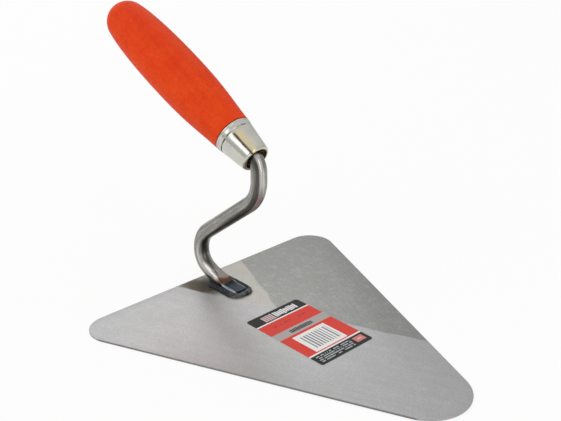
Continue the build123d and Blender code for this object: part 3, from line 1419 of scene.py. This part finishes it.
@dataclass
class WeldBead(Piece):
    """Weld bead round the foot, laid as overlapping ripples by a Geometry Nodes tree."""

    node: str = "weld_bead"
    slot: str = "weld_oxide"
    half_width: float = 2.05
    height: float = 2.0
    run_up: float = 1.4
    ripple_pitch: float = 1.15
    ripple_depth: float = 0.13
    toe_radius: float = 4.8
    seed: float = 3.0
    steps_per_ripple: float = 8.0
    profile_points: int = 28
    least_end: float = 0.12
    lump_scale: float = 260.0
    lump_sizes: Pair = (0.86, 1.08)
    scatter_scale: float = 700.0
    scatter_phase: float = 4.0
    scatter_height: float = 0.8
    crown_lag: float = 2.4
    floor_margin: float = 0.3

    def route(self) -> list[Vector]:
        """Line on the blade that the bead follows, from one side of the foot round its toe to the other."""
        side = self.high.y - self.half_width
        start = self.low.x - self.run_up
        bend_x = self.high.x - self.half_width - self.toe_radius
        bend_y = side - self.toe_radius
        quarter = [math.radians(7.5 * step) for step in range(13)]
        half = [(start, side)]
        for turn in quarter:
            forward, out = self.toe_radius * math.sin(turn), self.toe_radius * math.cos(turn)
            half.append((bend_x + forward, bend_y + out))
        right = [Vector((x, -y, self.low.z)) for x, y in half]
        left = [Vector((x, y, self.low.z)) for x, y in reversed(half)]
        return right + left

    def tree(self) -> NodeTree:
        """Geometry Nodes tree that lays a rippled bead along a line.

        Returns:
            The tree. Its sizes are named inputs.
        """
        tree = bpy.data.node_groups.new("rippled_bead", "GeometryNodeTree")
        for name in ("Geometry", "Half Width", "Height", "Pitch", "Ripple", "Floor", "Seed", "Material"):
            kind = name if name in ("Geometry", "Material") else "Float"
            tree.interface.new_socket(name, in_out="INPUT", socket_type="NodeSocket" + kind)
        tree.interface.new_socket("Geometry", in_out="OUTPUT", socket_type="NodeSocketGeometry")
        graph = Graph(tree)
        given = graph.add("NodeGroupInput").outputs

        def lumps(scale: float, detail: float) -> Socket:
            """Noise on the bead, with this many cells in a metre."""
            noise = graph.add("ShaderNodeTexNoise", settings={"noise_dimensions": "4D"}, Vector=place,
                              Scale=scale, Detail=detail, W=given["Seed"])
            return noise.outputs[0]

        def make(kind: str, **given_inputs: object) -> Socket:
            """First output of a geometry node."""
            return graph.add("GeometryNode" + kind, **given_inputs).outputs[0]

        line = make("MeshToCurve", Mesh=given["Geometry"])
        step = graph.math("DIVIDE", given["Pitch"], self.steps_per_ripple)
        line = make("ResampleCurve", settings={"mode": "LENGTH"}, Curve=line, Length=step)
        line = make("SetCurveNormal", settings={"mode": "Z_UP"}, Curve=line)
        travelled = graph.add("GeometryNodeSplineParameter").outputs["Length"]
        stored = {"data_type": "FLOAT", "domain": "POINT"}
        line = make("StoreNamedAttribute", settings=stored, Geometry=line, Name="along", Value=travelled)
        to_end = graph.math("MINIMUM", travelled, graph.math("SUBTRACT", make("SplineLength"), travelled))
        blunt = graph.math("POWER", graph.math("DIVIDE", to_end, given["Half Width"], clamp=True), 0.5)
        place = make("InputPosition")
        size = graph.product(graph.math("MAXIMUM", blunt, self.least_end),
                             graph.spread(lumps(self.lump_scale, 1.0), *NOISE_SPAN, *self.lump_sizes))
        circle = make("CurvePrimitiveCircle", Resolution=self.profile_points, Radius=1.0)
        shape = graph.join(given["Half Width"], given["Height"], 1.0)
        profile = make("Transform", Geometry=circle, Scale=shape)
        bead = make("CurveToMesh", Curve=line, Profile_Curve=profile, Scale=size, Fill_Caps=True)
        normal = make("InputNormal")
        along = make("InputNamedAttribute", settings={"data_type": "FLOAT"}, Name="along")
        uneven = lumps(self.scatter_scale, 2.0)
        phase = graph.total(graph.product(graph.math("DIVIDE", along, given["Pitch"]), 2 * math.pi),
                            graph.product(graph.axes(normal)[2], self.crown_lag),
                            graph.product(uneven, self.scatter_phase))
        scatter = graph.spread(uneven, *NOISE_SPAN, -self.scatter_height, self.scatter_height)
        wave = graph.total(graph.math("SINE", phase), scatter)
        push = graph.vector("SCALE", normal, Scale=graph.product(wave, given["Ripple"]))
        x, y, z = graph.axes(graph.vector("ADD", place, push))
        landed = graph.join(x, y, graph.math("MAXIMUM", z, given["Floor"]))
        bead = make("SetPosition", Geometry=bead, Position=landed)
        bead = make("SetShadeSmooth", Geometry=bead)
        bead = make("RealizeInstances", Geometry=bead)
        bead = make("SetMaterial", Geometry=bead, Material=given["Material"])
        graph.add("NodeGroupOutput", Geometry=bead)
        return tree

    def build(self) -> Object:
        """Lay the bead."""
        route = self.route()
        line = bpy.data.meshes.new("bead_line")
        links = [(i, i + 1) for i in range(len(route) - 1)]
        line.from_pydata([tuple(point * MM) for point in route], links, [])
        guide = put_in_scene("bead_line", line)
        material = WeldFinish().material(self)
        sizes = {
            "Half Width": self.half_width * MM,
            "Height": self.height * MM,
            "Pitch": self.ripple_pitch * MM,
            "Ripple": self.ripple_depth * MM,
            "Floor": (self.low.z - self.floor_margin) * MM,
            "Seed": self.seed,
            "Material": material,
        }
        mesh = run_tree(guide, self.tree(), sizes, "trowel_weld_bead")
        return self.settle(put_in_scene("trowel_weld_bead", mesh), material)


def run_tree(guide: Object, tree: NodeTree, inputs: dict[str, object],
             name: str) -> bpy.types.Mesh:
    """Run a Geometry Nodes tree on an object and remove the object.

    Args:
        guide: Object that the tree starts from.
        tree: The tree.
        inputs: Values of the tree's inputs, by name.
        name: Name of the result.

    Returns:
        The result as a plain mesh.
    """
    modifier = guide.modifiers.new("nodes", "NODES")
    modifier.node_group = tree
    for item in tree.interface.items_tree:
        if item.in_out == "INPUT" and item.name in inputs:
            modifier[item.identifier] = inputs[item.name]
    mesh = bpy.data.meshes.new_from_object(guide.evaluated_get(bpy.context.evaluated_depsgraph_get()))
    mesh.name = name
    bpy.data.objects.remove(guide)
    return mesh


def add_section(piece: Object, marks: Sequence[Triple]) -> None:
    """Store each vertex's place in its section, for patterns that follow the piece.

    Args:
        piece: Object whose mesh gets the attribute.
        marks: Distance along the piece and the two distances across it, in millimetres.
    """
    attribute = piece.data.attributes.new("section", "FLOAT_VECTOR", "POINT")
    attribute.data.foreach_set("vector", [number for mark in marks for number in mark])


def lathe(name: str, line: Centreline, outline: Sequence[Pair],
          segments: int = 112) -> Object:
    """Turn an outline about the handle's axis.

    Args:
        name: Name of the object.
        line: Centreline that holds the axis.
        outline: Distance past the ferrule's rim, towards its mouth, and radius of each point. An outline
            that starts on the axis gets a pole there. Otherwise it closes on itself.
        segments: Number of facets round the axis.

    Returns:
        The turned object, with its section attribute.
    """
    ahead = line.towards_mouth()
    up = ahead.cross(ACROSS)
    origin = line.rim()
    pole = outline[0][1] == 0.0
    points, marks, faces = [], [], []
    for station, radius in outline[pole:]:
        for j in range(segments):
            angle = 2 * math.pi * j / segments
            side, lift = radius * math.cos(angle), radius * math.sin(angle)
            points.append(origin + ahead * station + ACROSS * side + up * lift)
            marks.append((station, side, lift))
    count = len(outline) - pole
    for i in range(count - 1 if pole else count):
        faces += quads(i * segments, (i + 1) % count * segments, segments)
    if pole:
        for first, station in ((0, outline[0][0]), ((count - 1) * segments, outline[-1][0])):
            points.append(origin + ahead * station)
            marks.append((station, 0.0, 0.0))
            faces += [[first + j, first + (j + 1) % segments, len(points) - 1] for j in range(segments)]
    shape = mesh_object(name, points, faces)
    add_section(shape, marks)
    return shape


def smooth_curve(knots: Sequence[Pair], start_slope: float, end_slope: float,
                 steps: int) -> list[Pair]:
    """Smooth curve through points, with given slopes at its ends.

    Args:
        knots: Station and value of each point, in order.
        start_slope: Slope at the first point.
        end_slope: Slope at the last point.
        steps: Steps between each two points.

    Returns:
        Points on the curve.
    """
    x, y = np.array(knots).T
    gap, rise = np.diff(x), np.diff(y)
    size = len(x)
    left = np.eye(size)
    right = np.zeros(size)
    right[0], right[-1] = start_slope, end_slope
    for i in range(1, size - 1):
        left[i, i - 1:i + 2] = (gap[i], 2 * (gap[i - 1] + gap[i]), gap[i - 1])
        right[i] = 3 * (gap[i] * rise[i - 1] / gap[i - 1] + gap[i - 1] * rise[i] / gap[i])
    slopes = np.linalg.solve(left, right)
    made = []
    for i in range(size - 1):
        for t in np.arange(steps) / steps:
            a, b = y[i], y[i + 1]
            c, d = slopes[i] * gap[i], slopes[i + 1] * gap[i]
            value = a + c * t + (3 * (b - a) - 2 * c - d) * t * t + (2 * (a - b) + c + d) * t ** 3
            made.append((float(x[i] + gap[i] * t), float(value)))
    return [*made, tuple(knots[-1])]


@dataclass
class Ferrule(Piece):
    """Drawn cone with a rolled lip, a groove behind it and a rounded mouth."""

    node: str = "ferrule"
    slot: str = "ferrule_plate"
    line: Centreline = Centreline()
    wall: float = 0.8
    rim_radius: float = 12.05
    lip_proud: float = 0.22
    lip_length: float = 1.3
    groove_at: float = 3.9
    groove_width: float = 1.1
    groove_depth: float = 0.5
    mouth_end_radius: float = 8.9
    mouth_rounding: float = 1.6
    mouth_radius: float = 7.2

    def outer_radius(self, station: float) -> float:
        """Radius of the outer face.

        Args:
            station: Distance from the rim.

        Returns:
            The radius.
        """
        length = self.line.ferrule_length
        radius = lerp(self.rim_radius, self.mouth_end_radius, station / length)
        lip = max(0.0, 1 - (2 * station / self.lip_length - 1) ** 2) ** 0.5
        off = (station - self.groove_at) / (self.groove_width / 2)
        groove = 0.5 + 0.5 * math.cos(math.pi * min(1.0, abs(off)))
        return radius + self.lip_proud * lip - self.groove_depth * groove

    def outline(self) -> list[Pair]:
        """Closed outline of the wall, from the rim along the outside, in at the mouth and back inside."""
        length = self.line.ferrule_length
        bend = length - self.mouth_rounding
        stations = [0.1 * i for i in range(56)] + [lerp(5.6, bend, i / 12) for i in range(13)]
        outside = [(station, self.outer_radius(station)) for station in stations]
        shoulder = self.outer_radius(bend) - self.mouth_rounding
        for i in range(1, 9):
            turn = math.radians(90 * i / 8)
            outside.append((bend + self.mouth_rounding * math.sin(turn),
                            max(shoulder + self.mouth_rounding * math.cos(turn), self.mouth_radius)))
        inner_end = length - self.wall
        inner_mouth = self.mouth_end_radius - self.wall
        inside = [(length - 0.15, self.mouth_radius - 0.1), (inner_end, self.mouth_radius - 0.1),
                  (inner_end, max(inner_mouth - 0.4, self.mouth_radius))]
        for i in range(9):
            radius = lerp(inner_mouth, self.rim_radius - self.wall, i / 8)
            inside.append((lerp(inner_end - 0.6, 0.0, i / 8), radius))
        return outside + inside

    def build(self) -> Object:
        """Make the ferrule."""
        shape = lathe("trowel_ferrule", self.line, self.outline())
        sharpen(shape, 40.0)
        return self.settle(shape, PlateFinish().material(self))


@dataclass
class Handle(Piece):
    """Turned grip with a round butt, a nose in the ferrule and a bore for the tang."""

    node: str = "handle"
    slot: str = "handle_paint"
    line: Centreline = Centreline()
    length: float = 121.5
    rim_radius: float = 12.05
    swell: Pair = (60.0, 15.9)
    front: Pair = (26.7, 14.7)
    rear: Pair = (25.6, 14.7)
    butt_radius: float = 13.0
    butt_slope: float = 0.2
    rim_slope: float = 0.07
    rim_rounding: float = 0.5
    joint_shade: float = 0.75
    wall: float = 0.8
    wall_clearance: float = 0.03
    nose_length: float = 14.9
    nose_end_radius: float = 9.0
    bore_depth: float = 78.0

    def outline(self) -> list[Pair]:
        """Outline from the butt's pole over the grip and the nose to the bottom of the bore."""
        turn_end = math.pi / 2 - math.atan(self.butt_slope)
        centre = self.butt_radius - self.length
        butt = []
        for i in range(25):
            turn = turn_end * i / 24
            butt.append((centre - self.butt_radius * math.cos(turn), self.butt_radius * math.sin(turn)))
        swells = [(place - self.length, radius) for place, radius in (self.rear, self.swell)]
        knots = [butt[-1], *swells, (-self.front[0], self.front[1]), (0.0, self.rim_radius)]
        flank = smooth_curve(knots, self.butt_slope, -self.rim_slope, 24)
        grip = [point for point in flank[1:] if point[0] < -self.rim_rounding]
        edge = self.rim_rounding
        base = self.rim_radius + self.rim_slope * edge
        for i in range(6):
            turn = math.radians(90 * i / 5)
            grip.append((-edge + edge * math.sin(turn), base - edge * (1 - math.cos(turn))))
        nose_radius = self.rim_radius - self.wall - self.wall_clearance
        nose = [(0.0, nose_radius), (self.nose_length - 0.5, self.nose_end_radius + 0.5),
                (self.nose_length, self.nose_end_radius)]
        bore = [(self.nose_length, self.line.rod_radius), (-self.bore_depth, self.line.rod_radius)]
        return butt + grip + nose + bore + [(-self.bore_depth, 0.5)]

    def build(self) -> Object:
        """Make the handle."""
        shape = lathe("trowel_handle", self.line, self.outline(), 128)
        sharpen(shape, 50.0)
        return self.settle(shape, PaintedWoodFinish().material(self))


@dataclass
class Label(Piece):
    """Paper sticker on the blade, with rounded corners."""

    node: str = "label"
    slot: str = "label_print"
    corner_radius: float = 2.0
    edge_softness: float = 0.04

    def outline(self, inset: float) -> list[Vector]:
        """Rounded rectangle.

        Args:
            inset: How much smaller than the sticker it is, on each side.

        Returns:
            Points round it, anticlockwise.
        """
        right, left = self.low.y + self.corner_radius, self.high.y - self.corner_radius
        rear, front = self.low.x + self.corner_radius, self.high.x - self.corner_radius
        reach = self.corner_radius - inset
        points = []
        for start, x, y in ((0, front, left), (90, rear, left), (180, rear, right), (270, front, right)):
            for step in range(9):
                turn = math.radians(start + 90 * step / 8)
                points.append(Vector((x + reach * math.cos(turn), y + reach * math.sin(turn), 0.0)))
        return points

    def build(self) -> Object:
        """Make the sticker."""
        soft = self.edge_softness
        levels = ((0.0, self.low.z), (0.0, self.high.z - soft), (soft, self.high.z))
        rings = [[point + UP * z for point in self.outline(inset)] for inset, z in levels]
        shape = mesh_object("trowel_label", *skin_rings(rings))
        sharpen(shape, 40.0)
        return self.settle(shape, PrintFinish().material(self.low))


# ---------------------------------------------------------------- studio


def aim(thing: Object, place: Vector, ahead: Vector, roll: float = 0.0) -> None:
    """Place a lamp or camera.

    Args:
        thing: Lamp or camera.
        place: Where it stands, in metres.
        ahead: Direction that it faces.
        roll: Turn about that direction, in radians.
    """
    thing.location = place
    thing.rotation_mode = "QUATERNION"
    thing.rotation_quaternion = ahead.to_track_quat("-Z", "Y") @ Quaternion((0, 0, 1), roll)


@dataclass(frozen=True)
class Softbox:
    """Rectangular studio lamp, aimed at a point over the trowel."""

    name: str
    azimuth: float
    elevation: float
    distance: float
    size: Pair
    radiance: float

    def place(self, target: Vector) -> Object:
        """Add the lamp.

        Args:
            target: Point that the lamp faces, in metres.

        Returns:
            The lamp.
        """
        data = bpy.data.lights.new(self.name, "AREA")
        data.shape = "RECTANGLE"
        data.size, data.size_y = self.size
        data.energy = self.radiance * math.pi * self.size[0] * self.size[1]
        turn, lift = math.radians(self.azimuth), math.radians(self.elevation)
        back = Vector((math.sin(turn) * math.cos(lift), -math.cos(turn) * math.cos(lift), math.sin(lift)))
        lamp = put_in_scene(self.name, data)
        aim(lamp, target + back * self.distance, -back)
        return lamp


@dataclass
class Studio:
    """Pale floor, soft light and camera."""

    floor_half_size: float = 4.0
    floor_drop: float = 0.0002
    floor_colour: Colour = (0.90, 0.90, 0.895)
    floor_glow: float = 0.86
    away: Triple = (-0.72, 0.69, 0.0)
    leftwards: Triple = (-0.69, -0.72, 0.0)
    sky: tuple[Pair, ...] = ((0.0, 0.50), (0.35, 0.80), (1.0, 0.95))
    front_grey: float = 0.30
    right_grey: float = 0.42
    room_strength: float = 1.08
    camera_at: Triple = (0.323785, -0.343283, 0.286466)
    camera_target: Triple = (-0.141464, 0.105492, 0.0)
    camera_roll: float = math.radians(0.40)
    lens: float = 62.18
    softboxes: tuple[Softbox, ...] = (
        Softbox("strip_right", 82.0, 20.0, 1.6, (0.34, 1.3), 2.6),
        Softbox("glint_front", 0.0, 34.0, 1.6, (0.20, 0.6), 2.3),
        Softbox("back_left", 250.0, 36.0, 1.9, (1.8, 0.9), 0.95),
        Softbox("key_left", 335.0, 38.0, 1.6, (0.8, 0.8), 1.3),
    )

    def floor(self) -> Object:
        """Make the floor, which shows white and keeps the shadow."""
        half, drop = self.floor_half_size / MM, self.floor_drop / MM
        corners = [Vector((x * half, y * half, -drop)) for x, y in ((-1, -1), (1, -1), (1, 1), (-1, 1))]
        plane = mesh_object("studio_floor", corners, [(0, 1, 2, 3)])
        plane.data.materials.append(self.floor_material())
        return plane

    def floor_material(self) -> Material:
        """Near-white floor that adds a share of pure white for what sees it directly."""
        surface = Surface("studio_floor", Base_Color=self.floor_colour, Roughness=0.9,
                          Specular_IOR_Level=0.0)
        rays = surface.add("ShaderNodeLightPath").outputs
        direct = surface.math("MAXIMUM", rays["Is Camera Ray"], rays["Is Glossy Ray"])
        direct = surface.math("MAXIMUM", direct, rays["Is Transmission Ray"])
        glow = surface.add("ShaderNodeEmission", Color=WHITE, Strength=1.0).outputs[0]
        mixed = surface.add("ShaderNodeMixShader", surface.product(direct, self.floor_glow),
                            surface.shader.outputs[0], glow)
        surface.fill(surface.tree.nodes["Material Output"], Surface=mixed.outputs[0])
        return surface.material

    def surroundings(self) -> None:
        """Light room: bright overhead and behind, dimmer on the camera's side, and white as a backdrop."""
        world = bpy.data.worlds.new("studio_room")
        world.use_nodes = True
        bpy.context.scene.world = world
        graph = Graph(world.node_tree)
        direction = graph.add("ShaderNodeTexCoord").outputs["Generated"]
        away = graph.vector("DOT_PRODUCT", direction, self.away)
        leftwards = graph.vector("DOT_PRODUCT", direction, self.leftwards)
        height = graph.axes(direction)[2]
        (low, low_grey), (middle, middle_grey), (top, top_grey) = self.sky
        sky = graph.total(graph.spread(height, low, middle, low_grey, middle_grey),
                          graph.spread(height, middle, top, 0.0, top_grey - middle_grey))
        sky = graph.spread(graph.spread(away, -0.9, 0.2, 0.45, 0.0), 0.0, 1.0, sky, self.front_grey)
        sky = graph.spread(graph.spread(leftwards, -0.6, 0.5, 0.40, 0.0), 0.0, 1.0, sky, self.right_grey)
        seen = graph.add("ShaderNodeLightPath").outputs["Is Camera Ray"]
        graph.fill(world.node_tree.nodes["Background"], Color=graph.spread(seen, 0.0, 1.0, sky, 1.0),
                   Strength=graph.spread(seen, 0.0, 1.0, self.room_strength, 1.0))

    def camera(self) -> Object:
        """Place the camera and make it the scene's."""
        data = bpy.data.cameras.new("view_camera")
        data.lens = self.lens
        data.sensor_width = 36.0
        data.dof.use_dof = False
        camera = put_in_scene("view_camera", data)
        place = Vector(self.camera_at)
        aim(camera, place, Vector(self.camera_target) - place, self.camera_roll)
        bpy.context.scene.camera = camera
        return camera

    def build(self) -> None:
        """Make the studio."""
        bpy.context.scene.view_settings.view_transform = "Standard"
        low, high = CAD_BOX
        target = (Vector(low) + Vector(high)) / 2
        self.floor()
        self.surroundings()
        for softbox in self.softboxes:
            softbox.place(target)
        self.camera()


def main() -> None:
    """Build the trowel and its studio."""
    logging.basicConfig(level=logging.INFO, format="%(message)s")
    Studio().build()
    for piece in (Blade(), Neck(), WeldBead(), Ferrule(), Handle(), Label()):
        shape = piece.build()
        LOG.info("%s stands for %s: %d faces", shape.name, piece.node, len(shape.data.polygons))


if __name__ == "__main__":
    main()
